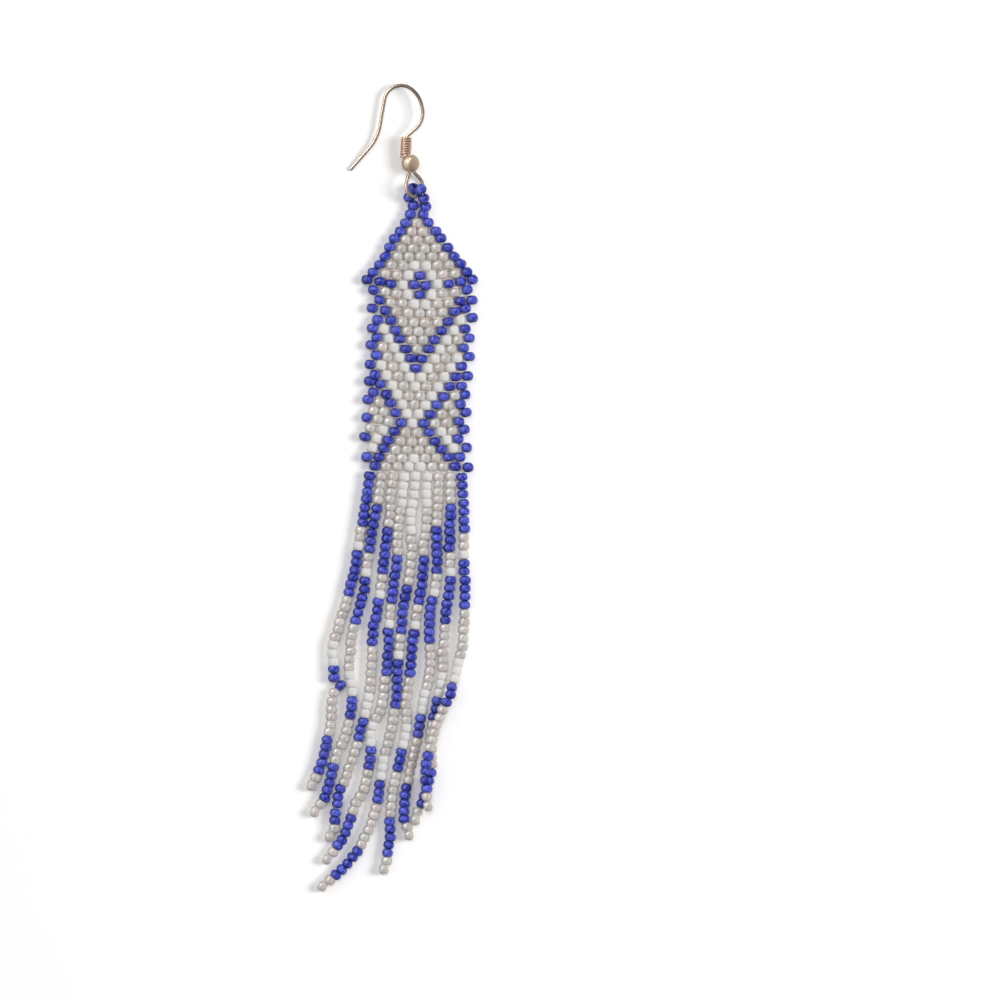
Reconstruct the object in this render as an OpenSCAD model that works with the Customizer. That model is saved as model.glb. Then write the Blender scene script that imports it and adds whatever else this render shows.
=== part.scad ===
// A long bead-woven earring, lying face up on a flat surface.
// X runs across the panel, Y along the earring towards the hook, Z up from the surface.
// The origin is on the surface, under the middle of the whole earring.

/* [Beads] */
// Width of a seed bead, which is also the thickness of the woven panel
bead_d = 2.1; // [1.9:0.05:2.1]
// Length of a seed bead along its thread
bead_l = 1.5; // [1.3:0.05:1.5]
// Distance between neighbouring beads in a panel row
bead_step = 2.13; // [2.1:0.01:2.16]
// Width of a fringe strand
strand_d = 2; // [1.7:0.05:2]
// Width of the bead loop that holds the ear wire
loop_d = 1.7; // [1.5:0.05:1.7]

/* [Panel] */
// Rows in the whole panel
panel_rows = 29; // [25:1:29]

/* [Ear wire] */
// Thickness of the ear wire
wire_d = 0.64; // [0.5:0.02:0.64]
// Diameter of the ball
ball_d = 3.25; // [3.05:0.05:3.25]
// Hole through the ball, which both legs of the wire go into
ball_hole_d = 1.8; // [1.72:0.02:1.8]
// Distance of each leg of the wire from the middle of that hole
leg_offset = 0.36; // [0.36:0.01:0.38]
// Outer diameter of the coil above the ball
coil_d = 2.05; // [1.9:0.05:2.1]
// Thickness of the wire that the coil is wound from
coil_wire_d = 0.35; // [0.25:0.01:0.36]
// Turns in the coil
coil_turns = 8; // [5:1:8]

/* [Hidden] */

// Gap between pieces that meet
gap = 0.1;
// Beads across the straight part of the panel, each with a strand below it
beads_across = 9;
// Rows in the pointed top, each one bead wider than the row above it
pointed_rows = beads_across;
// Columns are counted in half beads from the middle of the panel
half_step = bead_step / 2;

// How the panel lies, a row for each stretch of it. In between, it changes evenly.
// row of beads, middle x, middle y, turn in degrees, rise of its ends
panel_lie = [
    [ 0, 0.8, 50.7, 3.0, 0.0],
    [ 3, 1.1, 46.0, 4.0, 1.0],
    [ 5, 1.8, 43.0, 3.0, 0.3],
    [ 8, 2.0, 37.7, 3.0, 0.9],
    [12, 2.3, 30.8, 1.8, 0.9],
    [14, 2.1, 27.7, 1.1, 0.3],
    [17, 2.1, 22.5, 1.3, 0.5],
    [20, 2.1, 17.4, 0.3, 0.4],
    [23, 1.9, 12.3, 0.3, 0.7],
    [25, 2.0,  8.9, 1.8, 0.9],
    [28, 2.8,  4.4, 2.9, 0.0],
    [29, 3.1,  2.6, 2.5, 0.0],
];

// Distance down the fringe between the places where its strands are set
fringe_step = 6;
// The first of those places
fringe_start = -3;
// How the strands lie: the end of each strand, then its x at every step down the fringe
// end y, x at steps 1, 2, 3 and on
strand_lie = [
    [-55.1, [-5.9, -6.7, -7.2, -8.4, -9.9, -10.1, -9.7, -10.4, -11.5, -13.8]],
    [-59.9, [-3.7, -4.5, -5.0, -5.8, -6.9,  -7.3, -6.4,  -7.2,  -9.2, -10.7, -13.9]],
    [-64.3, [-1.5, -2.0, -2.4, -2.9, -3.3,  -3.2, -3.6,  -4.7,  -5.8,  -8.3,  -8.9, -11.5]],
    [-68.5, [ 0.7,  0.4,  0.2, -0.2, -0.5,  -0.6, -0.9,  -2.3,  -2.8,  -4.2,  -6.0,  -9.8]],
    [-73.5, [ 2.9,  3.0,  2.9,  2.1,  1.8,   1.6,  1.6,   0.6,  -0.3,  -0.8,  -2.3,  -5.8, -11.6]],
    [-69.8, [ 5.1,  5.2,  5.3,  4.7,  4.2,   4.0,  3.9,   3.6,   2.6,   1.7,   1.6,   0.9,   0.4]],
    [-63.5, [ 7.4,  7.5,  7.9,  7.1,  7.1,   7.3,  6.3,   5.9,   5.0,   4.2,   4.4,   5.2]],
    [-60.6, [ 9.8,  9.9, 10.3, 10.0,  9.8,   9.9,  9.1,   8.3,   8.8,   7.5,   6.2]],
    [-57.7, [12.1, 12.3, 12.8, 13.1, 13.1,  12.3, 11.0,   8.8,   7.8,   8.5]],
];
// Where a strand rides up on the one beside it: strand, from y, to y, height
ride_ups = [
    [2,   0, -12, 0.7],
    [9, -32, -68, 2.1],
];

// The bead loop, from its left foot on the panel round to its right foot
loop_beads = [
    [0, 52.3, 1.05], [-0.9, 53.8, 1.1], [-0.15, 55.55, 1.65],
    [1.3, 55.4, 2.65], [2.1, 53.6, 2.42], [2.35, 52.25, 1.2],
];

// Middle of the ball, which rests on the surface
ball_at = [-0.87, 60.05, ball_d / 2];
// The ear wire leans over sideways until its tip touches the surface
wire_lean = 8;
// Tilt of the ball's hole, and the turn of the wire loop about it
hole_tilt = 16;
loop_turn = 50;
// Bends of the wire upwards from the ball: straight length, bend radius, bend to the left
hook_bends = [
    [1.00, 1.0,  14],
    [0.35, 1.0, -30],
    [2.70, 0.6, -47],
    [1.80, 3.9,  64],
    [0.65, 5.0,  42],
    [0.00, 3.1, 114],
    [4.90, 8.4, -32],
];
// Straight end that goes through the ear, and the length that its point tapers over
tip_l = 5.2;
point_l = 0.15;
// Bends of the wire downwards from the ball, round the loop and back into the ball
loop_bends = [
    [1.1, 0.65, -43],
    [1.0, 4.60,  28],
    [0.0, 1.60,  92],
    [0.0, 2.30,  91],
    [0.1, 1.70,  54],
    [1.2, 0.50, -42],
];
// Length of the wire's end inside the ball
loop_end_l = 0.9;

// The coil starts this far below the straight stretch of wire that it is wound on
coil_drop = 0.2;
// How far its last half turn reaches down beside the ball
coil_tail = 0.7;
coil_pitch = coil_wire_d + 0.02;

wire_sides = 24;
// The wire is a hair thicker where a straight stretch and a bend join
joint_swell = 1.02;
ball_sides = 48;
strand_sides = 8;
coil_sides = 6;
coil_steps = 12;

gold = [0.83, 0.70, 0.48];
rose_gold = [0.80, 0.56, 0.42];
cobalt = [0.16, 0.17, 0.68];
lustre = [0.80, 0.76, 0.72];

// A tube swept along a route
function unit(v) = v / norm(v);
function tangent(route, i) = unit(route[min(i + 1, len(route) - 1)] - route[max(i - 1, 0)]);
function ring(route, i, d, sides) =
    let (along = tangent(route, i), side = unit(cross(along, [0, 0, 1])), up = cross(side, along))
    [for (k = [0:sides - 1])
        route[i] + d / 2 * (sin(360 * k / sides) * side - cos(360 * k / sides) * up)];

module tube(route, d, sides) {
    last = len(route) - 1;
    points = [for (i = [0:last]) each ring(route, i, d, sides)];
    walls = [for (i = [0:last - 1], k = [0:sides - 1])
        let (a = i * sides + k, b = i * sides + (k + 1) % sides, c = b + sides, e = a + sides)
        each [[a, e, b], [b, e, c]]];
    start = [for (k = [0:sides - 1]) k];
    end = [for (k = [sides - 1:-1:0]) last * sides + k];
    polyhedron(points, concat(walls, [start, end]), convexity = 10);
}

// Bent wire, which starts at the origin along +Y and bends in the XY plane
module bend_arc(d, radius, angle) {
    if (angle >= 0)
        translate([-radius, 0, 0]) rotate_extrude(angle = angle) translate([radius, 0]) circle(d = d);
    else
        mirror([1, 0, 0]) bend_arc(d, radius, -angle);
}

module after_bend(bend) {
    side = bend[2] >= 0 ? -bend[1] : bend[1];
    translate([side, bend[0], 0]) rotate([0, 0, bend[2]]) translate([-side, 0, 0]) children();
}

module straight_wire(d, length) {
    if (length > 0)
        rotate([-90, 0, 0]) cylinder(d = d, h = length);
}

module bent_wire(bends, d, i = 0) {
    sphere(d = d * joint_swell);
    if (i < len(bends)) {
        straight_wire(d, bends[i][0]);
        translate([0, bends[i][0], 0]) {
            bend_arc(d, bends[i][1], bends[i][2]);
            sphere(d = d * joint_swell);
        }
        after_bend(bends[i]) bent_wire(bends, d, i + 1) children();
    }
    else
        children();
}

module at_bend(bends, count, i = 0) {
    if (i < count)
        after_bend(bends[i]) at_bend(bends, count, i + 1) children();
    else
        children();
}

// Places on the ear wire
module at_ball() {
    translate(ball_at) rotate([0, -wire_lean, 0]) rotate([0, 0, hole_tilt]) children();
}

module at_stem() {
    at_ball() rotate([0, loop_turn, 0]) translate([-leg_offset, 0, 0]) children();
}

module ear_wire() {
    color(gold) {
        $fn = wire_sides;
        at_stem() rotate([0, -loop_turn, 0]) bent_wire(hook_bends, wire_d) {
            straight_wire(wire_d, tip_l);
            translate([0, tip_l, 0]) rotate([-90, 0, 0]) cylinder(d1 = wire_d, d2 = wire_d / 2, h = point_l);
        }
        at_stem() rotate([0, 0, 180]) bent_wire(loop_bends, wire_d) straight_wire(wire_d, loop_end_l);
    }
}

module wire_coil() {
    radius = (coil_d - coil_wire_d) / 2;
    route = [for (i = [0:coil_turns * coil_steps])
        let (turn = i / coil_steps, tail = coil_tail * max(0, 1 - 2 * turn))
        [-radius * cos(360 * turn), -radius * sin(360 * turn), coil_pitch * turn - tail]];
    color(rose_gold)
        at_stem() rotate([0, -loop_turn, 0]) at_bend(hook_bends, 2)
            translate([-gap / 2, -coil_drop, 0]) rotate([-90, 0, 0]) tube(route, coil_wire_d, coil_sides);
}

module ball_bead() {
    color(gold) {
        $fn = ball_sides;
        at_ball() difference() {
            sphere(d = ball_d);
            rotate([-90, 0, 0]) cylinder(d = ball_hole_d, h = 2 * ball_d, center = true);
        }
    }
}

// The lie of the panel at any row, and the middle of any of its beads
function lie(row, column) = lookup(row, [for (place = panel_lie) [place[0], place[column]]]);
function half_beads_across(column) = column / (beads_across - 1);
function panel_bead(row, column) =
    let (turn = lie(row, 3), along = column * half_step)
    [lie(row, 1) + along * cos(turn),
     lie(row, 2) + along * sin(turn) + lie(row, 4) * pow(half_beads_across(column), 2)];

// The first and last bead of a row, counted in half beads from the middle
function row_shift(row) = row < pointed_rows ? 0 : 1 - row % 2;
function row_reach(row) = row < pointed_rows ? row + 1 : beads_across - 1;
function first_bead(row) = row_shift(row) - row_reach(row);
function last_bead(row) = row_shift(row) + row_reach(row);

// The left or right side of one row, stepped where the next row is wider or shifted
function row_side(row, outer, side) =
    let (x = panel_bead(row, outer)[0] + side * bead_step / 2,
         above = row == 0 ? panel_bead(0, outer)[1] + bead_l / 2
             : (panel_bead(row - 1, outer)[1] + panel_bead(row, outer)[1]) / 2,
         below = (panel_bead(row, outer)[1] + panel_bead(row + 1, outer)[1]) / 2)
    [[x, above], [x, below]];

module bead_panel() {
    right = [for (row = [0:panel_rows - 1]) each row_side(row, last_bead(row), 1)];
    left = [for (row = [panel_rows - 1:-1:0])
        let (pair = row_side(row, first_bead(row), -1)) each [pair[1], pair[0]]];
    color(lustre) linear_extrude(bead_d) polygon(concat(right, left));
}

module hanger_loop() {
    left_foot = panel_bead(0, -1);
    right_foot = panel_bead(0, 1);
    foot_rise = bead_l / 2 + 2 * gap;
    first = loop_beads[0];
    last = loop_beads[len(loop_beads) - 1];
    route = concat(
        [[first[0], left_foot[1] + foot_rise, first[2]]],
        smooth(loop_beads),
        [[last[0], right_foot[1] + foot_rise, last[2]]]);
    color(cobalt) tube(route, loop_d, strand_sides);
}

// A smooth curve through the given places, with one more place halfway between each two
function halfway(p, i) =
    let (a = p[max(i - 1, 0)], b = p[i], c = p[i + 1], e = p[min(i + 2, len(p) - 1)])
    (9 * (b + c) - (a + e)) / 16;
function smooth(p) =
    [for (i = [0:len(p) - 1]) each (i < len(p) - 1 ? [p[i], halfway(p, i)] : [p[i]])];

// How high strand k lies above the surface at y, besides its own half width
function ramp(distance) = min(1, max(0, distance / fringe_step));
function ride_up(k, y) =
    max([0, for (r = ride_ups) r[0] == k ? r[3] * min(ramp(r[1] - y), ramp(y - r[2])) : 0]);

// The route of strand k, from the panel to the end of its last bead
function strand_route(k) =
    let (top = panel_bead(panel_rows, 2 * k - 1 - beads_across),
         start_y = top[1] + (bead_l - gap) / 2,
         end_y = strand_lie[k - 1][0] - bead_l / 2,
         steps = strand_lie[k - 1][1],
         step_y = [for (i = [0:len(steps) - 1]) fringe_start - i * fringe_step],
         x_at = concat([[-top[1], top[0]]], [for (i = [0:len(steps) - 1]) [-step_y[i], steps[i]]]))
    [for (y = concat([start_y], [for (y = step_y) if (y > end_y + bead_l) y], [end_y]))
        [lookup(-y, x_at), y, bead_d / 2 + ride_up(k, y)]];

module strand(k) {
    color(cobalt) tube(strand_route(k), strand_d, strand_sides);
}

ear_wire();
wire_coil();
ball_bead();
hanger_loop();
bead_panel();
strand(1);  // strand_1
strand(2);  // strand_2
strand(3);  // strand_3
strand(4);  // strand_4
strand(5);  // strand_5
strand(6);  // strand_6
strand(7);  // strand_7
strand(8);  // strand_8
strand(9);  // strand_9
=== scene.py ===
import math
import random

import bmesh
import bpy
from mathutils import Matrix, Vector


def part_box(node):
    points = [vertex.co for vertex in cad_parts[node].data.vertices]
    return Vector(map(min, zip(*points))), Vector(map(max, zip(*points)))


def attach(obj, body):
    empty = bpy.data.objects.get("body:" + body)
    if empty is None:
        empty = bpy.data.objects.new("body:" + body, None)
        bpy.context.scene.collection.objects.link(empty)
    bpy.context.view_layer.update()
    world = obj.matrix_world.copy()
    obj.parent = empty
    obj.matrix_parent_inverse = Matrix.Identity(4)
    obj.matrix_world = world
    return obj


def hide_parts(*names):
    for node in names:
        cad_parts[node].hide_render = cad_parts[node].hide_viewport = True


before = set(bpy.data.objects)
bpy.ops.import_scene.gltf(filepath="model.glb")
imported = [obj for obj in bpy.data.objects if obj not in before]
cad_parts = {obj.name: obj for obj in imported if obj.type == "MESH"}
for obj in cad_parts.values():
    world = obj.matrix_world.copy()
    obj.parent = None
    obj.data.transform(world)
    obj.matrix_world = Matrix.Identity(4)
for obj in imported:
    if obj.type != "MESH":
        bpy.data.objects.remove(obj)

bl_info = {
    "name": "Beaded Earring",
    "version": (1, 0, 0),
    "blender": (4, 5, 0),
    "location": "View3D > Sidebar > Earring",
    "description": "Dresses a fringe earring with seed beads, thread and gold",
    "category": "Object",
}

MM = 0.001
BODY = "root"

# The panel's columns are counted in half beads from its middle. Lengths in these tables are in mm.
PANEL_ROWS = 29
POINTED_ROWS = 9
BEADS_ACROSS = 9
BEAD_STEP = 2.13
BEAD_REST = 1.05
# Woven beads are longer than strung ones by this factor, so that they fill their rows
PANEL_STRETCH = 1.07
# The beads at the panel's edges are looser, and those up its point turn with the slope, in degrees
EDGE_LOOSE = 2.5
SLOPE_TURN = 14
# How far the thread between the panel's rows lies below their middles
THREAD_DROP = 0.3 * MM
# row of beads, middle x, middle y, turn in degrees, rise of its ends
PANEL_LIE = (
    (0, 0.8, 50.7, 3.0, 0.0),
    (3, 1.1, 46.0, 4.0, 1.0),
    (5, 1.8, 43.0, 3.0, 0.3),
    (8, 2.0, 37.7, 3.0, 0.9),
    (12, 2.3, 30.8, 1.8, 0.9),
    (14, 2.1, 27.7, 1.1, 0.3),
    (17, 2.1, 22.5, 1.3, 0.5),
    (20, 2.1, 17.4, 0.3, 0.4),
    (23, 1.9, 12.3, 0.3, 0.7),
    (25, 2.0, 8.9, 1.8, 0.9),
    (28, 2.8, 4.4, 2.9, 0.0),
    (29, 3.1, 2.6, 2.5, 0.0),
)

# The strands hang from the last row, and their x is set at every step down the fringe
FRINGE_START = -3
FRINGE_STEP = 6
# y of the last bead, then x at steps 1, 2, 3 and on
STRAND_LIE = (
    (-55.1, (-5.9, -6.7, -7.2, -8.4, -9.9, -10.1, -9.7, -10.4, -11.5, -13.8)),
    (-59.9, (-3.7, -4.5, -5.0, -5.8, -6.9, -7.3, -6.4, -7.2, -9.2, -10.7, -13.9)),
    (-64.3, (-1.5, -2.0, -2.4, -2.9, -3.3, -3.2, -3.6, -4.7, -5.8, -8.3, -8.9, -11.5)),
    (-68.5, (0.7, 0.4, 0.2, -0.2, -0.5, -0.6, -0.9, -2.3, -2.8, -4.2, -6.0, -9.8)),
    (-73.5, (2.9, 3.0, 2.9, 2.1, 1.8, 1.6, 1.6, 0.6, -0.3, -0.8, -2.3, -5.8, -11.6)),
    (-69.8, (5.1, 5.2, 5.3, 4.7, 4.2, 4.0, 3.9, 3.6, 2.6, 1.7, 1.6, 0.9, 0.4)),
    (-63.5, (7.4, 7.5, 7.9, 7.1, 7.1, 7.3, 6.3, 5.9, 5.0, 4.2, 4.4, 5.2)),
    (-60.6, (9.8, 9.9, 10.3, 10.0, 9.8, 9.9, 9.1, 8.3, 8.8, 7.5, 6.2)),
    (-57.7, (12.1, 12.3, 12.8, 13.1, 13.1, 12.3, 11.0, 8.8, 7.8, 8.5)),
)
# Where a strand rides up on the one beside it: strand, from y, to y, height
RIDE_UPS = ((2, 0, -12, 0.7), (9, -32, -68, 2.1))
# Beads at the top of the strands, from the outer strand to the middle one, then those below them
STRAND_TOPS = ("B1", "L4", "L7", "W4 L6", "W7 L6")
STRAND_REST = "B6 L2 W1 B6 L6 W3 B3 L6 B5 L2"
# Beads that lie out of line: strand and bead, then how far to the right and up, and the turn in degrees
OUT_OF_LINE = {
    (1, 27): (1.1, 0.0, 35),
    (7, 45): (0.4, 0.0, -20),
    (7, 46): (0.85, 0.2, -15),
    (8, 42): (-0.4, 0.0, 15),
    (8, 43): (-0.4, 0.2, 0),
}
# How far the beads in the middle of each strand have slipped on their thread. A power under 1 puts
# the most slipped bead above the strand's middle
SLIPS = (-0.1, 0.4, -0.15, 0.55, 0.9, 0.65, -0.2, -0.28, 0.45)
SLIP_POWER = 0.8
# How far the last bead of a strand, which lies across it, slants back along it
LAST_BEAD_SLANT = 0.3
# A strand's route leaves out a step that is nearer to its end than this
END_GAP = 1.0
# Where a few beads of a strand lie to one side: strand, first bead, last bead, how far to the right
WAVES = (
    (1, 5, 8, 0.15), (1, 21, 24, -0.35), (1, 28, 31, -0.35),
    (2, 9, 12, -0.15), (2, 13, 16, 0.15), (2, 18, 21, -0.2), (2, 34, 36, -0.2), (2, 38, 42, 0.2),
    (3, 4, 18, 0.37), (3, 35, 38, -0.35), (3, 41, 46, 0.35),
    (4, 4, 8, -0.18), (4, 9, 12, 0.18), (4, 20, 24, 0.33), (4, 30, 33, -0.5),
    (4, 36, 40, 0.25), (4, 40, 45, -0.35),
    (5, 3, 7, -0.35), (5, 29, 33, 0.18), (5, 45, 52, 0.18),
    (6, 3, 7, 0.33), (6, 13, 15, 0.18), (6, 26, 29, -0.5), (6, 44, 49, 0.35),
    (7, 14, 16, 0.18), (7, 22, 32, 0.25),
    (8, 12, 15, 0.18), (8, 21, 24, -0.18),
    (9, 2, 21, 0.2), (9, 27, 31, -0.4),
)
LETTERS = {"B": "cobalt", "L": "lustre", "W": "white"}

# The beads that hold the ear wire: place, the way that the bead's hole points, and size
HANGER_BEADS = (
    ((0.05, 52.35, 1.05), (-0.35, 1.0, 0.0), 1.03),
    ((-0.75, 53.85, 1.1), (-0.3, 1.0, 0.1), 1.03),
    ((-0.1, 55.4, 1.65), (0.35, 0.75, 0.8), 1.06),
    ((1.28, 55.2, 2.6), (0.8, -0.6, 0.2), 1.12),
    ((1.9, 53.65, 2.4), (0.35, -1.0, -0.35), 1.03),
    ((2.3, 52.25, 1.2), (0.1, -1.0, -0.5), 1.03),
)

# Half sections of the beads, from the rim of the hole over the shoulder to the middle:
# distance from the hole's axis as a share of half the width, and along it of half the length
BEAD_SHAPES = {
    "cobalt": ((0.3, 0.86), (0.47, 1.0), (0.76, 0.79), (0.945, 0.41), (1.0, 0.0)),
    "lustre": ((0.34, 0.86), (0.53, 1.0), (0.81, 0.81), (0.96, 0.42), (1.0, 0.0)),
    "white": ((0.38, 0.86), (0.62, 1.0), (0.87, 0.85), (0.98, 0.45), (1.0, 0.0)),
}
BEAD_SIDES = 10
# Beads lean up and down by this share of their lean across, and their tone spreads this far
LEAN_UPWARDS = 0.5
TONE_SPREAD = 0.5
ROUTE_STEPS = 12
COIL_STEPS = 24
THREAD_ROUNDNESS = 1
COIL_ROUNDNESS = 3

# Noise in the finishes: how fine it is, per metre, and its detail
CLOUDS = (2000, 1)
FLECKS = (3400, 1)
GRAIN = (6000, 2)
SLOW_WEAR = (350, 3)
HANDLING_MARKS = (4000, 4)
THREAD_SHADES = (2500, 2)
# How far a bead's own tint and its clouds lean its colour to the other colour
TINT_LEAN = 0.4
CLOUD_LEAN = 4.0
GLASS_BUMP = 0.1 * MM
# How far light goes into the glass, and the shares of that for red, green and blue
DEPTH_REACH = 0.8 * MM
DEPTH_COLOUR = (1.0, 0.9, 0.8)
# How much roughness the handling marks add, then the strength and the depth of the metal's bump
MARK_ROUGHNESS = 0.12
METAL_BUMP = (0.1, 0.02 * MM)
THREAD_ROUGHNESS = 0.35
# The painted dark reflection on the top of the hook fades out between half and one and a half times its reach
PAINTED_REFLECTION_EDGE = 1.5
PAINTED_REFLECTION_SHARE = 0.85
# Plated finishes: how far the worn colour shows, how rough they are and how metallic
METAL_FINISHES = {
    "gold_wire": (0.6, 0.21, 0.77),
    "gold_ball": (0.8, 0.27, 0.64),
    "rose_gold_wire": (0.4, 0.25, 0.66),
}

# Half the width of the floor, in metres as all on the stage, and its roughness
FLOOR_REACH = 3
FLOOR_ROUGHNESS = 0.8
NEAREST = 0.01
FURTHEST = 20
# How far towards its bright side the room starts to brighten, and where it is brightest
ROOM_PLACES = (0.15, 0.9)
ROOM_COLOURS = ((0.08, 0.07, 0.06, 1), (1, 1, 1, 1))
# name, the setting that its power comes from, share of that, width, place, whether it only makes glints
LIGHTS = (
    ("key_light", "key_power", 1.0, 0.44, (0.8, 0.14, 0.64), False),
    ("fill_light", "fill_power", 1.0, 0.4, (-0.05, 0.25, 1.3), False),
    ("glint_light", "glint_power", 1.0, 0.17, (-0.38, 0.28, 0.46), True),
    ("top_glint_light", "glint_power", 0.5, 0.15, (-0.06, 0.55, 0.4), True),
)


def lookup(key, table, column):
    """The value of a column at key, in between its rows too."""
    if key <= table[0][0]:
        return table[0][column]
    for low, high in zip(table, table[1:]):
        if key <= high[0]:
            share = (key - low[0]) / (high[0] - low[0])
            return low[column] + share * (high[column] - low[column])
    return table[-1][column]


def panel_place(row, column):
    """The middle of a bead in the panel, or in the row below it where the strands begin."""
    turn = math.radians(lookup(row, PANEL_LIE, 3))
    along = column * BEAD_STEP / 2
    rise = lookup(row, PANEL_LIE, 4) * (column / (BEADS_ACROSS - 1)) ** 2
    x = lookup(row, PANEL_LIE, 1) + along * math.cos(turn)
    y = lookup(row, PANEL_LIE, 2) + along * math.sin(turn) + rise
    return Vector((x, y, BEAD_REST)) * MM


def row_columns(row):
    """The columns that have a bead in this row."""
    reach = row + 1 if row < POINTED_ROWS else BEADS_ACROSS - 1
    shift = 0 if row < POINTED_ROWS else 1 - row % 2
    return range(shift - reach, shift + reach + 1, 2)


def panel_glass(row, column):
    """The kind of bead at a place in the woven pattern."""
    side = abs(column)
    flower = side + abs(row - 8)
    cobalt = (
        (row < 9 and side == row + 1)
        or (row == 8 and side >= 5)
        or flower == 1
        or (9 <= row <= 17 and side == 17 - row)
        or (18 <= row <= 23 and side == 25 - row)
        or (row >= 24 and side == row - 21)
        or (row >= 9 and row % 2 == 1 and side == 8)
        or column == 9
        or (column == -7 and 10 <= row <= 20 and row % 2 == 0)
    )
    white = (
        (flower == 3 and side > 0)
        or (12 <= row <= 19 and side == 19 - row)
        or (16 <= row <= 23 and side == 23 - row)
        or (24 <= row <= 26 and side == row - 19)
        or side <= row - 27
    )
    return "cobalt" if cobalt else "white" if white else "lustre"


def strand_glass(number):
    """The kinds of bead down a strand, from the panel to its end."""
    top = STRAND_TOPS[min(number, BEADS_ACROSS + 1 - number) - 1]
    runs = (top + " " + STRAND_REST).split()
    return [LETTERS[run[0]] for run in runs for _ in range(int(run[1:]))]


def ride_up(number, y):
    """How far a strand is lifted at y by what it lies on."""
    heights = [0.0]
    for strand, start, end, height in RIDE_UPS:
        if strand == number:
            ramp = min(start - y, y - end) / FRINGE_STEP
            heights.append(height * min(1.0, max(0.0, ramp)))
    return max(heights)


def strand_route(number):
    """The places that a strand passes, from its top to the middle of its last bead."""
    top = panel_place(PANEL_ROWS, 2 * number - 1 - BEADS_ACROSS) / MM
    end_y, steps = STRAND_LIE[number - 1]
    lie = [(-top.y, top.x)] + [(-(FRINGE_START - i * FRINGE_STEP), x) for i, x in enumerate(steps)]
    ys = [top.y] + [-place[0] for place in lie[1:] if -place[0] > end_y + END_GAP] + [end_y]
    return [Vector((lookup(-y, lie, 1), y, BEAD_REST + ride_up(number, y))) * MM for y in ys]


def wave(number, bead):
    """How far a bead of a strand lies to the right of the strand's route, in mm."""
    aside = 0.0
    for strand, first, last, right in WAVES:
        if strand == number and first <= bead <= last:
            aside += right * min(1.0, (bead - first + 1) / 2, (last - bead + 1) / 2)
    return aside


def smooth_route(places):
    """A smooth curve through the places, as many short straight steps."""
    ends = [2 * places[0] - places[1]] + places + [2 * places[-1] - places[-2]]
    route = []
    for a, b, c, d in zip(ends, ends[1:], ends[2:], ends[3:]):
        bend = 2 * a - 5 * b + 4 * c - d
        twist = 3 * b - a - 3 * c + d
        for i in range(ROUTE_STEPS):
            t = i / ROUTE_STEPS
            route.append(0.5 * (2 * b + (c - a) * t + bend * t**2 + twist * t**3))
    return route + [places[-1]]


def walk(route, distance):
    """The place at this distance along a route, and the way that the route goes there."""
    for a, b in zip(route, route[1:]):
        step = (b - a).length
        if distance <= step:
            return a + (b - a) * (distance / step), (b - a).normalized()
        distance -= step
    return route[-1] + (route[-1] - route[-2]).normalized() * distance, (route[-1] - route[-2]).normalized()


def route_length(route):
    """The length of a route."""
    return sum((b - a).length for a, b in zip(route, route[1:]))


def seed_bead(shape):
    """One bead of width and length 2 about the origin, with its hole along Z, as a mesh."""
    mesh = bpy.data.meshes.new("seed_bead")
    work = bmesh.new()
    rim_shade = work.verts.layers.float.new("rim_shade")
    half = [Vector((r, 0, z)) for r, z in shape]
    lower = [Vector((r, 0, -z)) for r, z in reversed(shape) if z > 0]
    verts = [work.verts.new(place) for place in half + lower]
    # The rim share is 1 at the hole's rim and 0 round the bead's middle; the material paints shade by it,
    # darker towards the bead's ends
    for vert in verts:
        vert[rim_shade] = max(0.0, 1.0 - vert.co.x) / (1.0 - shape[0][0])
    edges = [work.edges.new(pair) for pair in zip(verts, verts[1:] + verts[:1])]
    bmesh.ops.spin(
        work, geom=verts + edges, cent=(0, 0, 0), axis=(0, 0, 1), dvec=(0, 0, 0),
        angle=math.tau, steps=BEAD_SIDES, use_merge=True,
    )
    bmesh.ops.recalc_face_normals(work, faces=work.faces)
    for face in work.faces:
        face.smooth = True
    work.to_mesh(mesh)
    work.free()
    return mesh


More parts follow.
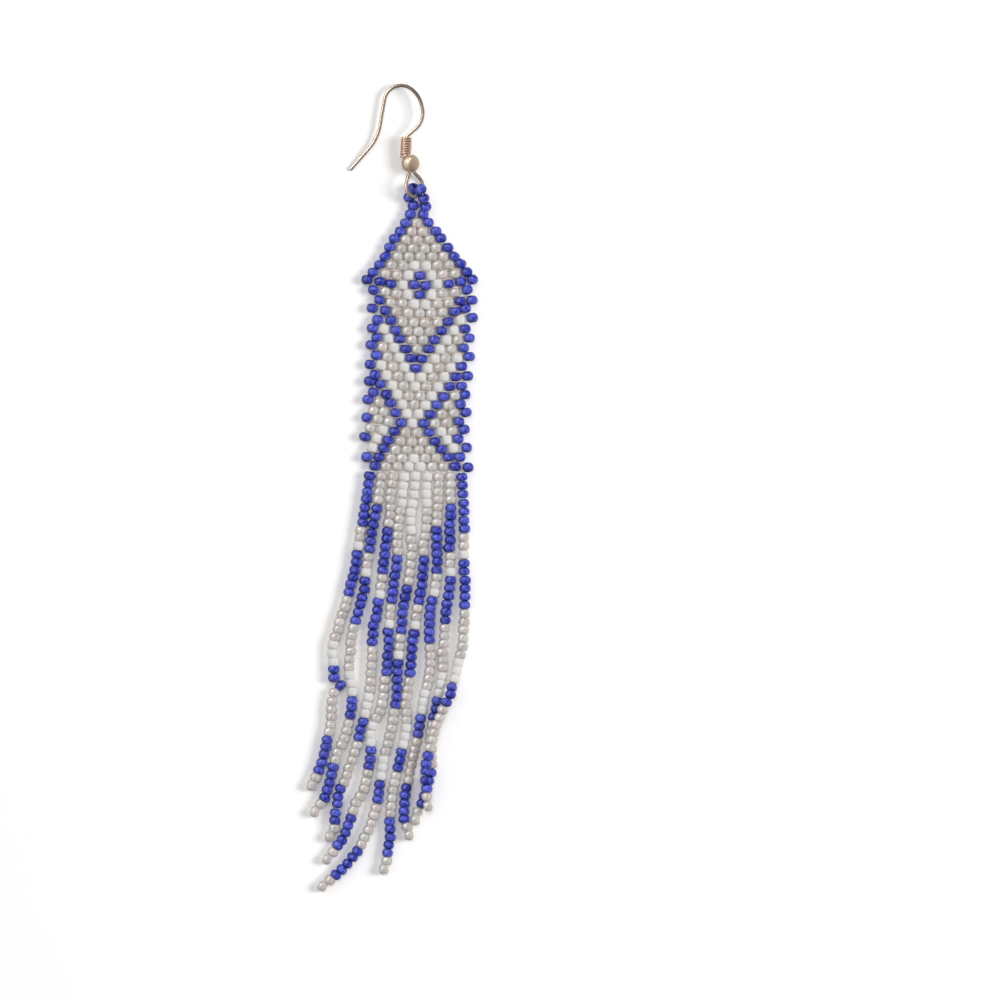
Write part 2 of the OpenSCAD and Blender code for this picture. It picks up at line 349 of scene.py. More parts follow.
class BeadWork:
    """A piece of beadwork, whose beads are joined into one mesh for each kind of glass."""

    def __init__(self, name, seed):
        self.name = name
        self.beads = bpy.context.scene.earring_beads
        self.random = random.Random(seed)
        self.shapes = {glass: seed_bead(shape) for glass, shape in BEAD_SHAPES.items()}
        self.rims = {}
        self.meshes = {}

    def add(self, glass, place, along, loose=1.0, stretch=1.0, size=1.0):
        """Puts one bead at a place, with its hole along a direction and a little at random."""
        if glass not in self.meshes:
            work = bmesh.new()
            for layer in ("rim_shade", "tone", "tint"):
                work.verts.layers.float.new(layer)
            self.meshes[glass] = work
        work = self.meshes[glass]
        look = getattr(self.beads, glass)
        vary = self.random.gauss
        start = len(work.verts)
        work.from_mesh(self.shapes[glass])
        work.verts.ensure_lookup_table()
        fresh = work.verts[start:]
        shift = Vector((vary(0, 1), vary(0, 1), 0)) * (self.beads.looseness * loose)
        lean = Vector((vary(0, 1), vary(0, 1), vary(0, LEAN_UPWARDS))) * (self.beads.lean * loose)
        turn = (along.normalized() + lean).to_track_quat("Z", "Y").to_matrix().to_4x4()
        wide = look.width / 2 * size * (1 + vary(0, self.beads.unevenness))
        long = look.length / 2 * size * stretch * (1 + vary(0, self.beads.unevenness))
        spin = Matrix.Rotation(self.random.uniform(0, math.tau), 4, "Z")
        matrix = Matrix.Translation(place + shift) @ turn @ Matrix.Diagonal((wide, wide, long, 1)) @ spin
        bmesh.ops.transform(work, matrix=matrix, verts=fresh)
        lift = max(0.0, -min(vert.co.z for vert in fresh))
        bmesh.ops.translate(work, vec=(0, 0, lift), verts=fresh)
        tone = vary(0, TONE_SPREAD)
        tint = self.random.uniform(-1, 1)
        tones = work.verts.layers.float["tone"]
        tints = work.verts.layers.float["tint"]
        for vert in fresh:
            vert[tones] = tone
            vert[tints] = tint

    def finish(self, node):
        """Makes an object of each mesh and puts it in the place of a node of the frame."""
        for glass, work in self.meshes.items():
            mesh = bpy.data.meshes.new(f"{self.name}_{glass}")
            work.to_mesh(mesh)
            work.free()
            mesh.materials.append(glass_material(glass))
            piece = bpy.data.objects.new(mesh.name, mesh)
            bpy.context.scene.collection.objects.link(piece)
            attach(piece, BODY)
            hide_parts(node)
        for mesh in self.shapes.values():
            bpy.data.meshes.remove(mesh)


def new_group(name, inputs, outputs):
    """An empty shader node group with named sockets, and its input and output nodes."""
    group = bpy.data.node_groups.new(name, "ShaderNodeTree")
    for label, kind, value in inputs:
        socket = group.interface.new_socket(label, in_out="INPUT", socket_type=kind)
        socket.default_value = value
    for label, kind in outputs:
        group.interface.new_socket(label, in_out="OUTPUT", socket_type=kind)
    return group, group.nodes.new("NodeGroupInput"), group.nodes.new("NodeGroupOutput")


def math_node(tree, operation, a, b):
    """A math node whose inputs are sockets or numbers. Returns its output."""
    node = tree.nodes.new("ShaderNodeMath")
    node.operation = operation
    for socket, value in zip(node.inputs, (a, b)):
        if isinstance(value, bpy.types.NodeSocket):
            tree.links.new(value, socket)
        else:
            socket.default_value = value
    return node.outputs[0]


def attribute(tree, name):
    """A number that the mesh carries at each point."""
    node = tree.nodes.new("ShaderNodeAttribute")
    node.attribute_name = name
    return node.outputs["Fac"]


def noise(tree, kind):
    """Noise over the piece's own coordinates, of a kind that gives its scale and detail."""
    scale, detail = kind
    place = tree.nodes.new("ShaderNodeTexCoord")
    node = tree.nodes.new("ShaderNodeTexNoise")
    node.inputs["Scale"].default_value = scale
    node.inputs["Detail"].default_value = detail
    tree.links.new(place.outputs["Object"], node.inputs["Vector"])
    return node.outputs["Fac"]


def mix_colours(tree, share, a, b):
    """A mix of two colours, which are sockets or values. Returns its output."""
    node = tree.nodes.new("ShaderNodeMix")
    node.data_type = "RGBA"
    for label, value in (("Factor_Float", share), ("A_Color", a), ("B_Color", b)):
        socket = next(s for s in node.inputs if s.identifier == label)
        if isinstance(value, bpy.types.NodeSocket):
            tree.links.new(value, socket)
        else:
            socket.default_value = value
    return next(s for s in node.outputs if s.identifier == "Result_Color")


def glass_group():
    """The colour of seed beads: each has its own tone and tint, is clouded, and has painted shade towards its
    hole, where it meets its neighbours.
    """
    group = bpy.data.node_groups.get("Seed bead glass")
    if group:
        return group
    group, source, sink = new_group(
        "Seed bead glass",
        (
            ("Colour", "NodeSocketColor", (0.5, 0.5, 0.5, 1)),
            ("Other colour", "NodeSocketColor", (0.5, 0.5, 0.5, 1)),
            ("Rim shade and glow colour", "NodeSocketColor", (0.1, 0.1, 0.1, 1)),
            ("Uneven tone", "NodeSocketFloat", 0.1),
            ("Clouding", "NodeSocketFloat", 0.1),
            ("Rim shade", "NodeSocketFloat", 0.5),
        ),
        (("Colour", "NodeSocketColor"), ("Height", "NodeSocketFloat")),
    )
    cloud = noise(group, CLOUDS)
    patches = math_node(group, "MULTIPLY", math_node(group, "SUBTRACT", cloud, 0.5), CLOUD_LEAN)
    lean = math_node(group, "MULTIPLY_ADD", attribute(group, "tint"), TINT_LEAN)
    lean.node.inputs[2].default_value = 0.5
    share = math_node(group, "ADD", lean, patches)
    share.node.use_clamp = True
    tinted = mix_colours(group, share, source.outputs["Colour"], source.outputs["Other colour"])
    flecks = math_node(group, "SUBTRACT", noise(group, FLECKS), 0.5)
    clouded = math_node(group, "MULTIPLY", flecks, source.outputs["Clouding"])
    uneven = math_node(group, "MULTIPLY", attribute(group, "tone"), source.outputs["Uneven tone"])
    value = math_node(group, "ADD", math_node(group, "ADD", clouded, uneven), 1.0)
    toned = group.nodes.new("ShaderNodeHueSaturation")
    group.links.new(tinted, toned.inputs["Color"])
    group.links.new(value, toned.inputs["Value"])
    # Painted shade: darker towards the bead's ends, where it meets its neighbours
    rim_shade = math_node(group, "MULTIPLY", attribute(group, "rim_shade"), source.outputs["Rim shade"])
    rim_shaded = mix_colours(group, rim_shade, toned.outputs["Color"], source.outputs["Rim shade and glow colour"])
    group.links.new(rim_shaded, sink.inputs["Colour"])
    group.links.new(math_node(group, "ADD", cloud, noise(group, GRAIN)), sink.inputs["Height"])
    return group


def new_material(name):
    """An empty material: the material, its node tree and its Principled shader."""
    material = bpy.data.materials.new(name)
    material.use_nodes = True
    tree = material.node_tree
    return material, tree, tree.nodes["Principled BSDF"]


def add_bump(tree, shader, height, strength, distance):
    """Drives the shader's normal from a height."""
    bump = tree.nodes.new("ShaderNodeBump")
    bump.inputs["Strength"].default_value = strength
    bump.inputs["Distance"].default_value = distance
    tree.links.new(height, bump.inputs["Height"])
    tree.links.new(bump.outputs["Normal"], shader.inputs["Normal"])


def glass_material(glass):
    """The finish of one kind of bead."""
    name = f"{glass}_glass"
    if name in bpy.data.materials:
        return bpy.data.materials[name]
    look = getattr(bpy.context.scene.earring_beads, glass)
    material, tree, shader = new_material(name)
    pattern = tree.nodes.new("ShaderNodeGroup")
    pattern.node_tree = glass_group()
    pattern.inputs["Colour"].default_value = (*look.colour, 1)
    pattern.inputs["Other colour"].default_value = (*look.other_colour, 1)
    pattern.inputs["Rim shade and glow colour"].default_value = (*look.rim_shade_and_glow_colour, 1)
    pattern.inputs["Uneven tone"].default_value = look.uneven_tone
    pattern.inputs["Clouding"].default_value = look.clouding
    pattern.inputs["Rim shade"].default_value = look.rim_shade
    tree.links.new(pattern.outputs["Colour"], shader.inputs["Base Color"])
    add_bump(tree, shader, pattern.outputs["Height"], look.bump, GLASS_BUMP)
    shader.inputs["Roughness"].default_value = look.roughness
    shader.inputs["Specular Tint"].default_value = (*look.shine_tint, 1)
    shader.inputs["Coat Weight"].default_value = look.gloss
    shader.inputs["Coat Roughness"].default_value = look.gloss_roughness
    shader.inputs["Coat IOR"].default_value = look.gloss_strength
    shader.inputs["Subsurface Weight"].default_value = look.depth
    shader.inputs["Subsurface Radius"].default_value = DEPTH_COLOUR
    shader.inputs["Subsurface Scale"].default_value = DEPTH_REACH
    # Painted glow: an emission in the rim shade colour stands in for light passed on through the translucent
    # beads
    shader.inputs["Emission Color"].default_value = (*look.rim_shade_and_glow_colour, 1)
    shader.inputs["Emission Strength"].default_value = look.glow
    return material


def metal_group():
    """Plated metal: slow changes of tone, fine handling marks, and a painted dark reflection round one place.
    """
    group = bpy.data.node_groups.get("Plated metal")
    if group:
        return group
    group, source, sink = new_group(
        "Plated metal",
        (
            ("Colour", "NodeSocketColor", (0.8, 0.7, 0.5, 1)),
            ("Worn colour", "NodeSocketColor", (0.6, 0.4, 0.3, 1)),
            ("Wear", "NodeSocketFloat", 0.3),
            ("Roughness", "NodeSocketFloat", 0.2),
            ("Painted reflection colour", "NodeSocketColor", (0.3, 0.2, 0.2, 1)),
            ("Painted reflection", "NodeSocketFloat", 0.0),
            ("Painted reflection place", "NodeSocketVector", (0, 0, 0)),
            ("Painted reflection reach", "NodeSocketFloat", 1 * MM),
        ),
        (
            ("Colour", "NodeSocketColor"),
            ("Roughness", "NodeSocketFloat"),
            ("Height", "NodeSocketFloat"),
        ),
    )
    wear = math_node(group, "MULTIPLY", noise(group, SLOW_WEAR), source.outputs["Wear"])
    worn = mix_colours(group, wear, source.outputs["Colour"], source.outputs["Worn colour"])
    # Painted shade: the colour darkens towards one place, a painted dark reflection on the top of the hook
    away = group.nodes.new("ShaderNodeVectorMath")
    away.operation = "DISTANCE"
    place = group.nodes.new("ShaderNodeTexCoord")
    group.links.new(place.outputs["Object"], away.inputs[0])
    group.links.new(source.outputs["Painted reflection place"], away.inputs[1])
    far = math_node(group, "DIVIDE", away.outputs["Value"], source.outputs["Painted reflection reach"])
    near = math_node(group, "SUBTRACT", PAINTED_REFLECTION_EDGE, far)
    near.node.use_clamp = True
    painted_reflection = math_node(group, "MULTIPLY", near, source.outputs["Painted reflection"])
    colour = mix_colours(group, painted_reflection, worn, source.outputs["Painted reflection colour"])
    marks = noise(group, HANDLING_MARKS)
    handled = math_node(group, "MULTIPLY", marks, MARK_ROUGHNESS)
    rough = math_node(group, "ADD", source.outputs["Roughness"], handled)
    group.links.new(colour, sink.inputs["Colour"])
    group.links.new(rough, sink.inputs["Roughness"])
    group.links.new(marks, sink.inputs["Height"])
    return group


def metal_material(name, colour, worn_colour):
    """A plated metal finish."""
    wear, roughness, metallic = METAL_FINISHES[name]
    material, tree, shader = new_material(name)
    pattern = tree.nodes.new("ShaderNodeGroup")
    pattern.node_tree = metal_group()
    pattern.inputs["Colour"].default_value = (*colour, 1)
    pattern.inputs["Worn colour"].default_value = (*worn_colour, 1)
    pattern.inputs["Wear"].default_value = wear
    pattern.inputs["Roughness"].default_value = roughness
    tree.links.new(pattern.outputs["Colour"], shader.inputs["Base Color"])
    tree.links.new(pattern.outputs["Roughness"], shader.inputs["Roughness"])
    add_bump(tree, shader, pattern.outputs["Height"], *METAL_BUMP)
    shader.inputs["Metallic"].default_value = metallic
    return material


def add_painted_reflection(material, metal):
    """Darkens a metal finish round the place that the settings give, as a painted dark reflection."""
    pattern = next(node for node in material.node_tree.nodes if node.type == "GROUP")
    pattern.inputs["Painted reflection colour"].default_value = (*metal.painted_reflection, 1)
    pattern.inputs["Painted reflection"].default_value = PAINTED_REFLECTION_SHARE
    pattern.inputs["Painted reflection place"].default_value = metal.painted_reflection_place
    pattern.inputs["Painted reflection reach"].default_value = metal.painted_reflection_reach


def thread_material():
    """Clear nylon beading thread."""
    if "nylon_thread" in bpy.data.materials:
        return bpy.data.materials["nylon_thread"]
    thread = bpy.context.scene.earring_thread
    material, tree, shader = new_material("nylon_thread")
    shades = noise(tree, THREAD_SHADES)
    colour = mix_colours(tree, shades, (*thread.colour, 1), (*thread.shade_colour, 1))
    tree.links.new(colour, shader.inputs["Base Color"])
    shader.inputs["Roughness"].default_value = THREAD_ROUGHNESS
    return material


def add_tubes(name, routes, width, roundness, material):
    """Round wire or thread along these routes, as one piece that rides on the body."""
    curve = bpy.data.curves.new(name, "CURVE")
    curve.dimensions = "3D"
    curve.bevel_depth = width / 2
    curve.bevel_resolution = roundness
    curve.use_fill_caps = True
    for route in routes:
        spline = curve.splines.new("POLY")
        spline.points.add(len(route) - 1)
        for point, place in zip(spline.points, route):
            point.co = (*place, 1)
    curve.materials.append(material)
    piece = bpy.data.objects.new(name, curve)
    bpy.context.scene.collection.objects.link(piece)
    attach(piece, BODY)
    return piece


def add_thread(name, routes, passes=1):
    """Beading thread along these routes, thicker where it passes more than once."""
    width = bpy.context.scene.earring_thread.width * passes
    thread = add_tubes(name, routes, width, THREAD_ROUNDNESS, thread_material())


class BeadLook(bpy.types.PropertyGroup):
    """Size and finish of one kind of bead."""

    width: bpy.props.FloatProperty(
        name="Width", description="Width across the hole", default=2.0 * MM, unit="LENGTH", precision=5
    )
    length: bpy.props.FloatProperty(
        name="Length", description="Length along the hole", default=1.5 * MM, unit="LENGTH", precision=5
    )
    colour: bpy.props.FloatVectorProperty(
        name="Colour", description="Colour of most beads", subtype="COLOR", size=3, default=(0.5, 0.5, 0.5)
    )
    other_colour: bpy.props.FloatVectorProperty(
        name="Other colour", description="Colour that some beads lean to", subtype="COLOR", size=3,
        default=(0.5, 0.5, 0.5),
    )
    # Colour of the painted shade at the bead's ends, and also of the painted glow
    rim_shade_and_glow_colour: bpy.props.FloatVectorProperty(
        name="Rim shade and glow colour", description="Colour round the hole", subtype="COLOR", size=3,
        default=(0.2, 0.2, 0.2),
    )
    uneven_tone: bpy.props.FloatProperty(
        name="Uneven tone", description="Change of tone from bead to bead", default=0.1
    )
    clouding: bpy.props.FloatProperty(name="Clouding", description="Change of tone over a bead", default=0.1)
    # How far the painted shade at the bead's ends shows
    rim_shade: bpy.props.FloatProperty(name="Rim shade", description="How far the rim takes its own colour", default=0.5)
    roughness: bpy.props.FloatProperty(name="Roughness", description="Roughness of the glass", default=0.3)
    shine_tint: bpy.props.FloatVectorProperty(
        name="Shine tint", description="Colour of the shine on the glass", subtype="COLOR", size=3,
        default=(1.0, 1.0, 1.0),
    )
    gloss: bpy.props.FloatProperty(name="Gloss", description="Share of clear gloss on top", default=0.5)
    gloss_roughness: bpy.props.FloatProperty(
        name="Gloss roughness", description="Roughness of the gloss on top", default=0.1
    )
    gloss_strength: bpy.props.FloatProperty(
        name="Gloss strength", description="Refractive index of the gloss on top", default=1.5
    )
    depth: bpy.props.FloatProperty(
        name="Depth", description="Share of light that goes into the glass", default=0.0
    )
    glow: bpy.props.FloatProperty(
        name="Glow", description="Light passed on from bead to bead, as a share of the rim's colour",
        default=0.0,
    )
    bump: bpy.props.FloatProperty(name="Bump", description="Strength of the uneven surface", default=0.1)


class BeadSettings(bpy.types.PropertyGroup):
    """The beads."""

    cobalt: bpy.props.PointerProperty(type=BeadLook, name="Cobalt", description="Opaque blue beads")
    lustre: bpy.props.PointerProperty(type=BeadLook, name="Lustre", description="Pearly translucent beads")
    white: bpy.props.PointerProperty(type=BeadLook, name="White", description="Opaque white beads")
    looseness: bpy.props.FloatProperty(
        name="Looseness", description="How far beads lie from their even places", default=0.05 * MM,
        unit="LENGTH", precision=5,
    )
    lean: bpy.props.FloatProperty(
        name="Lean", description="How far beads lean, in radians", default=0.06, subtype="ANGLE"
    )
    unevenness: bpy.props.FloatProperty(
        name="Unevenness", description="Change of size from bead to bead", default=0.025, subtype="FACTOR"
    )


class ThreadSettings(bpy.types.PropertyGroup):
    """The beading thread."""

    width: bpy.props.FloatProperty(
        name="Width", description="Thickness of the thread", default=0.24 * MM, unit="LENGTH", precision=5
    )
    colour: bpy.props.FloatVectorProperty(
        name="Colour", description="Lighter colour", subtype="COLOR", size=3, default=(0.9, 0.83, 0.76)
    )
    shade_colour: bpy.props.FloatVectorProperty(
        name="Shade colour", description="Darker colour", subtype="COLOR", size=3, default=(0.74, 0.65, 0.56)
    )


class MetalSettings(bpy.types.PropertyGroup):
    """The ear wire, its coil and its ball."""

    gold: bpy.props.FloatVectorProperty(
        name="Gold", description="Colour of the wire", subtype="COLOR", size=3,
        default=(0.77, 0.65, 0.51),
    )
    worn_gold: bpy.props.FloatVectorProperty(
        name="Worn gold", description="Colour where the metal is worn", subtype="COLOR", size=3,
        default=(0.52, 0.38, 0.31),
    )
    # Painted dark reflection on the top of the hook: its colour, its middle and how far it reaches
    painted_reflection: bpy.props.FloatVectorProperty(
        name="Painted reflection", description="Colour of the tarnished top of the hook", subtype="COLOR", size=3,
        default=(0.2, 0.14, 0.115),
    )
    painted_reflection_place: bpy.props.FloatVectorProperty(
        name="Painted reflection place", description="Middle of the tarnished part of the hook",
        default=(-1.5 * MM, 73.4 * MM, 2 * MM), subtype="TRANSLATION", unit="LENGTH", precision=5,
    )
    painted_reflection_reach: bpy.props.FloatProperty(
        name="Painted reflection reach", description="How far the tarnish reaches", default=3.4 * MM,
        unit="LENGTH", precision=5,
    )
    rose_gold: bpy.props.FloatVectorProperty(
        name="Rose gold", description="Colour of the coil", subtype="COLOR", size=3,
        default=(0.86, 0.59, 0.43),
    )
    ball_gold: bpy.props.FloatVectorProperty(
        name="Ball gold", description="Colour of the ball", subtype="COLOR", size=3,
        default=(0.81, 0.67, 0.49),
    )
    coil_turns: bpy.props.IntProperty(name="Coil turns", description="Turns in the coil", default=8, min=5)
    coil_wire: bpy.props.FloatProperty(
        name="Coil wire", description="Thickness of the coil's wire", default=0.31 * MM,
        unit="LENGTH", precision=5,
    )
    coil_tail: bpy.props.FloatProperty(
        name="Coil tail", description="How far the coil's last turn reaches down", default=0.15 * MM,
        unit="LENGTH", precision=5,
    )
    coil_sag: bpy.props.FloatProperty(
        name="Coil sag", description="How far the turns sag in front, as a share of their radius",
        default=-0.15,
    )


class StageSettings(bpy.types.PropertyGroup):
    """Camera, light and floor."""

    view_width: bpy.props.FloatProperty(
        name="View width", description="Width of the picture at the earring", default=184 * MM, unit="LENGTH"
    )
    view_middle: bpy.props.FloatVectorProperty(
        name="View middle", description="What the camera looks at", default=(18.80 * MM, -0.91 * MM, 0),
        subtype="TRANSLATION", unit="LENGTH",
    )
    view_roll: bpy.props.FloatProperty(
        name="View roll", description="Turn of the camera", default=math.radians(3), subtype="ANGLE"
    )
    camera_height: bpy.props.FloatProperty(
        name="Camera height", description="Height of the camera", default=1.2, unit="LENGTH"
    )
    floor_colour: bpy.props.FloatVectorProperty(
        name="Floor colour", description="Colour of the floor", subtype="COLOR", size=3,
        default=(0.935, 0.935, 0.935),
    )
    floor_reflected: bpy.props.FloatVectorProperty(
        name="Reflected floor", description="Colour of the floor where metal and glass mirror it",
        subtype="COLOR", size=3, default=(0.34, 0.29, 0.25),
    )
    key_power: bpy.props.FloatProperty(
        name="Key power", description="Power of the soft light that casts the shadows", default=9.0
    )
    fill_power: bpy.props.FloatProperty(
        name="Fill power", description="Power of the soft light above", default=4.2
    )
    glint_power: bpy.props.FloatProperty(
        name="Glint power", description="Power of the small lights that glint on the beads", default=1.15
    )
    room: bpy.props.FloatProperty(name="Room", description="Brightness of the room", default=0.95)
    room_mirrored: bpy.props.FloatProperty(
        name="Mirrored room", description="Brightness of the room where metal and glass mirror it",
        default=1.25,
    )
    floor_glow: bpy.props.FloatProperty(
        name="Floor glow", description="Light that comes up through the floor", default=0.05
    )
    room_side: bpy.props.FloatVectorProperty(
        name="Room side", description="Way to the bright side of the room", default=(-0.7, 0.55, 0.4),
        subtype="DIRECTION",
    )
    mirrored_side: bpy.props.FloatVectorProperty(
        name="Mirrored side", subtype="DIRECTION", default=(-1.0, 0.12, 0.14),
        description="Way to the bright side of the room where metal and glass mirror it",
    )


class EARRING_OT_bead_panel(bpy.types.Operator):
    """Weaves the panel, nine beads across with a pointed top"""

    bl_idname = "earring.bead_panel"
    bl_label = "Bead Panel"

    def execute(self, context):
        panel = BeadWork("panel", seed=11)
        for row in range(PANEL_ROWS):
            columns = row_columns(row)
            for column in columns:
                along = panel_place(row, column + 1) - panel_place(row, column - 1)
                turn = math.radians(90)
                loose = 1
                if column in (columns[0], columns[-1]):
                    loose = EDGE_LOOSE
                    if row < POINTED_ROWS:
                        turn -= math.copysign(math.radians(SLOPE_TURN), column)
                along = Matrix.Rotation(turn, 3, "Z") @ along
                panel.add(panel_glass(row, column), panel_place(row, column), along, loose, PANEL_STRETCH)
        panel.finish("bead_panel")
        bridges = []
        for row in range(PANEL_ROWS - 1):
            upper, lower = row_columns(row), row_columns(row + 1)
            ends = (max(upper[0], lower[0]), min(upper[-1], lower[-1]))
            places = [panel_place(row + 0.5, column) for column in range(ends[0], ends[1] + 1)]
            bridges.append([place - Vector((0, 0, THREAD_DROP)) for place in places])
        add_thread("panel_thread", bridges, passes=2)
        return {"FINISHED"}


class EARRING_OT_bead_hanger(bpy.types.Operator):
    """Strings the beads that hold the ear wire"""

    bl_idname = "earring.bead_hanger"
    bl_label = "Bead Hanger"

    def execute(self, context):
        hanger = BeadWork("hanger", seed=12)
        for place, along, size in HANGER_BEADS:
            hanger.add("cobalt", Vector(place) * MM, Vector(along), loose=0, size=size)
        hanger.finish("hanger_loop")
        places = [Vector(place) * MM for place, _, _ in HANGER_BEADS]
        route = smooth_route([panel_place(0, -1)] + places + [panel_place(0, 1)])
        add_thread("hanger_thread", [route])
        return {"FINISHED"}


class EARRING_OT_fringe(bpy.types.Operator):
    """Strings the fringe, whose last beads lie across their strands"""

    bl_idname = "earring.fringe"
    bl_label = "Fringe"

    def execute(self, context):
        beads = context.scene.earring_beads
        threads = []
        for number in range(1, BEADS_ACROSS + 1):
            strand = BeadWork(f"strand_{number}", seed=20 + number)
            route = smooth_route(strand_route(number))
            reach = route_length(route)
            glasses = strand_glass(number)
            lengths = [getattr(beads, glass).length for glass in glasses]
            turn_bead = getattr(beads, glasses[-1]).width
            whole = sum(lengths[1:-1]) + lengths[0] / 2 + turn_bead / 2
            run = -lengths[0] / 2
            places = []
            for bead, (glass, length) in enumerate(zip(glasses, lengths)):
                last = bead == len(glasses) - 1
                share = 1.0 if last else (run + length / 2) / whole
                run += length
                slip = SLIPS[number - 1] * MM * math.sin(math.pi * share**SLIP_POWER)
                place, along = walk(route, reach * share + slip)
                right, up, turn = OUT_OF_LINE.get((number, bead), (0, 0, 0))
                place = place + Vector((right + wave(number, bead), up, 0)) * MM
                if last:
                    along = along.cross(Vector((0, 0, 1))) + LAST_BEAD_SLANT * along
                along = Matrix.Rotation(math.radians(turn), 3, "Z") @ along
                strand.add(glass, place, along, loose=0 if last else 1)
                places.append(place)
            strand.finish(f"strand_{number}")
            threads.append(places)
        add_thread("fringe_thread", threads)
        return {"FINISHED"}


class EARRING_OT_ear_wire(bpy.types.Operator):
    """Gives the ear wire and its ball their finish, and winds the coil"""

    bl_idname = "earring.ear_wire"
    bl_label = "Ear Wire"

    def execute(self, context):
        metal = context.scene.earring_metal
        looks = {
            "ear_wire": metal_material("gold_wire", metal.gold, metal.worn_gold),
            "ball_bead": metal_material("gold_ball", metal.ball_gold, metal.worn_gold),
        }
        add_painted_reflection(looks["ear_wire"], metal)
        for name, material in looks.items():
            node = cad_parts[name]
            node.data.materials.clear()
            node.data.materials.append(material)
        self.add_coil(metal)
        return {"FINISHED"}

    def add_coil(self, metal):
        """A coil of fine wire, whose last turn slants down across the ear wire."""
        low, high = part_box("wire_coil")
        middle = (low + high) / 2
        radius = (high.x - low.x - metal.coil_wire) / 2
        sag = metal.coil_sag * radius
        start = low.y + metal.coil_wire / 2 + metal.coil_tail
        pitch = (high.y - metal.coil_wire / 2 - start) / metal.coil_turns
        route = []
        for i in range(metal.coil_turns * COIL_STEPS + 1):
            turn = i / COIL_STEPS
            tail = metal.coil_tail * max(0.0, 1 - turn) ** 2
            angle = turn * math.tau
            front = math.sin(angle)
            y = start + pitch * turn - tail - sag * front * min(1.0, 2 * turn)
            route.append(Vector((middle.x - radius * math.cos(angle), y, middle.z + radius * front)))
        material = metal_material("rose_gold_wire", metal.rose_gold, metal.worn_gold)
        coil = add_tubes("coil", [route], metal.coil_wire, COIL_ROUNDNESS, material)
        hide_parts("wire_coil")


class EARRING_OT_stage(bpy.types.Operator):
    """Sets up the floor, the soft light and the camera"""

    bl_idname = "earring.stage"
    bl_label = "Stage"

    def execute(self, context):
        stage = context.scene.earring_stage
        self.add_floor(stage)
        self.add_camera(context.scene, stage)
        self.add_room(context.scene, stage)
        for name, setting, share, size, place, glints in LIGHTS:
            lamp = self.add_light(name, share * getattr(stage, setting), size, Vector(place))
            lamp.visible_glossy = glints
            lamp.visible_diffuse = not glints
        context.scene.view_settings.view_transform = "Standard"
        return {"FINISHED"}

    def add_floor(self, stage):
        """A plain pale floor."""
        mesh = bpy.data.meshes.new("floor")
        work = bmesh.new()
        bmesh.ops.create_grid(work, x_segments=1, y_segments=1, size=FLOOR_REACH)
        work.to_mesh(mesh)
        work.free()
        material, tree, shader = new_material("floor")
        reflected = tree.nodes.new("ShaderNodeLightPath").outputs["Is Glossy Ray"]
        shade = mix_colours(tree, reflected, (*stage.floor_colour, 1), (*stage.floor_reflected, 1))
        tree.links.new(shade, shader.inputs["Base Color"])
        shader.inputs["Roughness"].default_value = FLOOR_ROUGHNESS
        glow = mix_colours(tree, reflected, (1, 1, 1, 1), (0, 0, 0, 1))
        tree.links.new(glow, shader.inputs["Emission Color"])
        shader.inputs["Emission Strength"].default_value = stage.floor_glow
        mesh.materials.append(material)
        floor = bpy.data.objects.new("floor", mesh)
        bpy.context.scene.collection.objects.link(floor)

    def add_camera(self, scene, stage):
        """Looks straight down on the earring."""
        camera = bpy.data.objects.new("camera", bpy.data.cameras.new("camera"))
        scene.collection.objects.link(camera)
        camera.location = Vector(stage.view_middle) + Vector((0, 0, stage.camera_height))
        camera.rotation_euler = (0, 0, stage.view_roll)
        camera.data.lens = camera.data.sensor_width * stage.camera_height / stage.view_width
        camera.data.clip_start = NEAREST
        camera.data.clip_end = FURTHEST
        scene.camera = camera

    def add_room(self, scene, stage):
        """A room that is bright on one side and dim on the other, with its own bright side in mirrors."""
        world = bpy.data.worlds.new("room")
        world.use_nodes = True
        scene.world = world
        tree = world.node_tree
        mirrored = tree.nodes.new("ShaderNodeLightPath").outputs["Is Glossy Ray"]
        background = tree.nodes["Background"]
        soft = self.room_shade(tree, stage.room_side)
        mirror = self.room_shade(tree, stage.mirrored_side)
        tree.links.new(mix_colours(tree, mirrored, soft, mirror), background.inputs["Color"])
        extra = math_node(tree, "MULTIPLY", mirrored, stage.room_mirrored - stage.room)
        tree.links.new(math_node(tree, "ADD", extra, stage.room), background.inputs["Strength"])

    def room_shade(self, tree, side):
        """From dim to white across the room towards this side. Returns the colour."""
        place = tree.nodes.new("ShaderNodeTexCoord")
        facing = tree.nodes.new("ShaderNodeVectorMath")
        facing.operation = "DOT_PRODUCT"
        facing.inputs[1].default_value = Vector(side).normalized()
        ramp = tree.nodes.new("ShaderNodeValToRGB")
        for element, position, colour in zip(ramp.color_ramp.elements, ROOM_PLACES, ROOM_COLOURS):
            element.position = position
            element.color = colour
        tree.links.new(place.outputs["Generated"], facing.inputs[0])
        tree.links.new(facing.outputs["Value"], ramp.inputs["Fac"])
        return ramp.outputs["Color"]

    def add_light(self, name, power, size, place):
        """A square soft light that faces the earring."""
        light = bpy.data.lights.new(name, "AREA")
        light.energy = power
        light.size = size
        lamp = bpy.data.objects.new(name, light)
        bpy.context.scene.collection.objects.link(lamp)
        lamp.location = place
        lamp.rotation_euler = (-place).to_track_quat("-Z", "Y").to_euler()
        return lamp


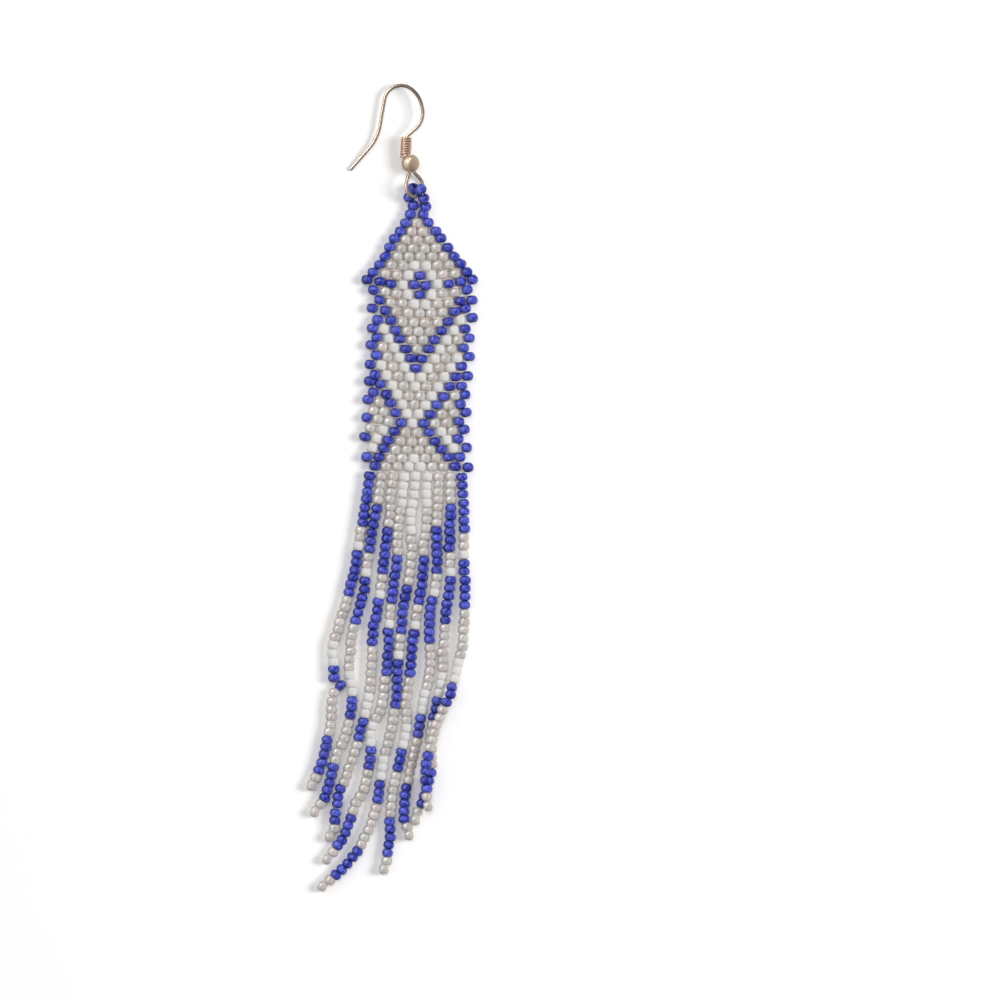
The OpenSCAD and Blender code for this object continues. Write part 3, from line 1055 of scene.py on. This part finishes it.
class EARRING_PT_pieces(bpy.types.Panel):
    """Lists the earring's pieces and their settings"""

    bl_idname = "EARRING_PT_pieces"
    bl_label = "Earring"
    bl_space_type = "VIEW_3D"
    bl_region_type = "UI"
    bl_category = "Earring"

    def draw(self, context):
        for operator in OPERATORS:
            self.layout.operator(operator.bl_idname)
        scene = context.scene
        for settings in (scene.earring_beads, scene.earring_thread, scene.earring_metal, scene.earring_stage):
            box = self.layout.box()
            for name in settings.__annotations__:
                box.prop(settings, name)


SETTINGS = (BeadLook, BeadSettings, ThreadSettings, MetalSettings, StageSettings)
OPERATORS = (
    EARRING_OT_bead_panel,
    EARRING_OT_bead_hanger,
    EARRING_OT_fringe,
    EARRING_OT_ear_wire,
    EARRING_OT_stage,
)
CLASSES = (*SETTINGS, *OPERATORS, EARRING_PT_pieces)

# The three kinds of bead, where they differ from the settings' own defaults
GLASS_LOOKS = {
    "cobalt": {
        "width": 2.13 * MM, "length": 1.56 * MM,
        "colour": (0.02, 0.03, 0.31), "other_colour": (0.095, 0.115, 0.6),
        "rim_shade_and_glow_colour": (0.005, 0.008, 0.085), "uneven_tone": 0.14, "clouding": 1.8, "rim_shade": 0.9,
        "roughness": 0.3, "shine_tint": (0.75, 0.8, 1.0), "gloss": 0.5, "gloss_roughness": 0.22, "bump": 0.7,
    },
    "lustre": {
        "width": 2.02 * MM, "length": 1.53 * MM,
        "colour": (0.465, 0.41, 0.408), "other_colour": (0.42, 0.447, 0.43),
        "rim_shade_and_glow_colour": (0.36, 0.315, 0.285), "uneven_tone": 0.13, "clouding": 1.2, "rim_shade": 0.5,
        "roughness": 0.3, "gloss": 1.0, "gloss_roughness": 0.045, "gloss_strength": 2.2,
        "depth": 0.7, "glow": 0.34, "bump": 0.38,
    },
    "white": {
        "width": 2.02 * MM, "length": 1.62 * MM,
        "colour": (0.51, 0.52, 0.532), "other_colour": (0.522, 0.52, 0.513),
        "rim_shade_and_glow_colour": (0.44, 0.41, 0.38), "uneven_tone": 0.04, "clouding": 0.2, "rim_shade": 0.45,
        "roughness": 0.45, "gloss": 0.15, "gloss_roughness": 0.25,
        "depth": 0.5, "glow": 0.3, "bump": 0.2,
    },
}


def register():
    for cls in CLASSES:
        bpy.utils.register_class(cls)
    scene = bpy.types.Scene
    scene.earring_beads = bpy.props.PointerProperty(type=BeadSettings)
    scene.earring_thread = bpy.props.PointerProperty(type=ThreadSettings)
    scene.earring_metal = bpy.props.PointerProperty(type=MetalSettings)
    scene.earring_stage = bpy.props.PointerProperty(type=StageSettings)


def unregister():
    for name in ("earring_beads", "earring_thread", "earring_metal", "earring_stage"):
        delattr(bpy.types.Scene, name)
    for cls in reversed(CLASSES):
        bpy.utils.unregister_class(cls)


def main():
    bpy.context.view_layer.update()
    register()
    for glass, looks in GLASS_LOOKS.items():
        for name, value in looks.items():
            setattr(getattr(bpy.context.scene.earring_beads, glass), name, value)
    bpy.ops.earring.bead_panel()
    bpy.ops.earring.bead_hanger()
    bpy.ops.earring.fringe()
    bpy.ops.earring.ear_wire()
    bpy.ops.earring.stage()


if __name__ == "__main__":
    main()
